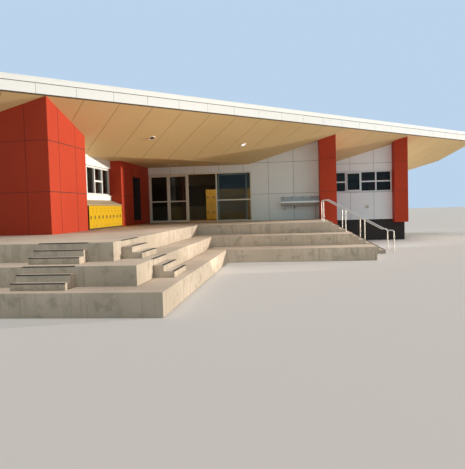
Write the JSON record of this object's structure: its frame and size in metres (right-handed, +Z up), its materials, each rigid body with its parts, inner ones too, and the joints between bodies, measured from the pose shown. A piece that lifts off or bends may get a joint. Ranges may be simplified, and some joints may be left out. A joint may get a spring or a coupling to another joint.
{
  "type": "school building",
  "caption": "Single-storey panel-clad school building with a pleated raised eave, stepped walls, recessed entrance with hinged and sliding glass doors, and wrapped terraces.",
  "frame": {"origin": "on the ground under the front right corner of the entrance deck", "axes": "+X right along the terrace fronts, +Y back into the building, +Z up"},
  "size_m": [21.5103, 25.2998, 6.16],
  "materials": {
    "concrete": "broom-finished concrete",
    "dark_block": "dark blockwork",
    "party_block": "plain blockwork",
    "red_panel": "satin dark red cladding panel",
    "white_panel": "satin white cladding panel",
    "cream_soffit": "matt cream soffit panel",
    "roof_sheet": "coated sheet roof",
    "pearl_frame": "pearl powder-coated frame",
    "clear_glass": "clear glass",
    "yellow_locker": "satin yellow enamel",
    "stainless": "brushed stainless steel",
    "lamp_lens": "opal lens"
  },
  "bodies": {
    "building": {"deck": "concrete", "middle_tier": "concrete", "lower_tier": "concrete", "terrace_steps": "concrete", "right_stair": "concrete", "handrails": "stainless", "plinth": "dark_block", "floor_slab": "concrete", "wing_front_wall": "red_panel", "wing_return_wall": "red_panel", "locker_wall": "white_panel", "portal_wall": "red_panel", "over_door_wall": "white_panel", "white_wall": "white_panel", "left_pillar": "red_panel", "bay_wall": "white_panel", "right_pillar": "red_panel", "right_wall": "white_panel", "back_wall": "white_panel", "left_wall": "party_block", "window_frames": "pearl_frame", "window_glass": "clear_glass", "entrance_frame": "pearl_frame", "fixed_glass": "clear_glass", "door_track": "pearl_frame", "lockers": "yellow_locker", "locker_top": "cream_soffit", "inside_lockers": "yellow_locker", "trough": "stainless", "trough_taps": "stainless", "main_soffit": "cream_soffit", "wing_soffit": "cream_soffit", "court_soffit": "cream_soffit", "bay_soffit": "cream_soffit", "porch_ceiling": "cream_soffit", "inside_ceiling": "cream_soffit", "roof_deck": "roof_sheet", "fascia": "white_panel", "fascia_capping": "white_panel", "roof_end_panels": "cream_soffit", "lights": "lamp_lens"},
    "left_leaf": {"left_door": "pearl_frame", "left_door_glass": "clear_glass", "left_door_pull": "stainless"},
    "right_leaf": {"right_door": "pearl_frame", "right_door_glass": "clear_glass", "right_door_pull": "stainless"},
    "sliding_leaf": {"sliding_door": "pearl_frame", "sliding_door_glass": "clear_glass", "sliding_door_pull": "stainless"}
  },
  "joints": [
    {"name": "left_door_hinge", "type": "hinge", "parent": "building", "child": "left_leaf", "pos_m": [-3.487, 15.366, 1.33], "axis": [0, 0, -1], "range_deg": [0, 90]},
    {"name": "right_door_hinge", "type": "hinge", "parent": "building", "child": "right_leaf", "pos_m": [-1.503, 15.366, 1.33], "axis": [0, 0, 1], "range_deg": [0, 90]},
    {"name": "sliding_door_run", "type": "slide", "parent": "building", "child": "sliding_leaf", "axis": [-1, 0, 0], "range_m": [0, 1.55]}
  ]
}
